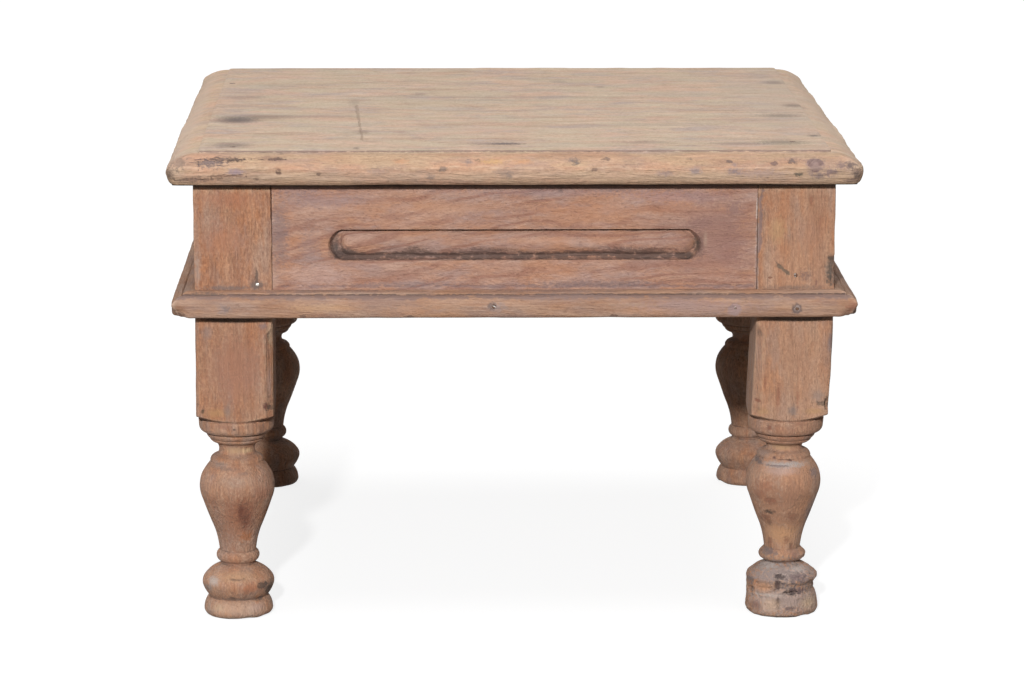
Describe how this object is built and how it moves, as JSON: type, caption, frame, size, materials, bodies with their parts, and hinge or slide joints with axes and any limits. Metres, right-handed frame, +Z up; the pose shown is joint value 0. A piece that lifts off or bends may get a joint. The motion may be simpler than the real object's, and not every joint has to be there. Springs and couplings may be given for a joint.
{
  "type": "bajot low table",
  "caption": "Low square table with a moulded plank top, reeded aprons, a mitred base moulding and turned legs.",
  "frame": {"origin": "on the floor under the middle of the square top", "axes": "+X to the right along the front apron, +Y towards the back, +Z up"},
  "size_m": [0.46, 0.46, 0.321],
  "materials": {
    "teak_top": "dry, greyish, worn smooth, unfinished",
    "teak_apron": "dry pinkish brown, unfinished",
    "teak_leg": "dry orange brown, worn and matt",
    "teak_moulding": "dry brown, rubbed arrises",
    "teak_plug": "dark, iron stained",
    "old_iron": "dull, darkened"
  },
  "bodies": {
    "root": {"top_board_front": "teak_top", "top_board_back": "teak_top", "edge_plug": "teak_plug", "top_nails_left": "old_iron", "top_nails_right": "old_iron", "leg_front_left": "teak_leg", "leg_front_right": "teak_leg", "leg_back_left": "teak_leg", "leg_back_right": "teak_leg", "tenon_pins_front_left": "old_iron", "tenon_pins_front_right": "old_iron", "tenon_pins_back_left": "old_iron", "tenon_pins_back_right": "old_iron", "apron_front": "teak_apron", "apron_right": "teak_apron", "apron_back": "teak_apron", "apron_left": "teak_apron", "moulding_front": "teak_moulding", "moulding_right": "teak_moulding", "moulding_back": "teak_moulding", "moulding_left": "teak_moulding", "moulding_nails_front": "old_iron", "moulding_nails_right": "old_iron", "moulding_nails_back": "old_iron", "moulding_nails_left": "old_iron"}
  },
  "joints": []
}
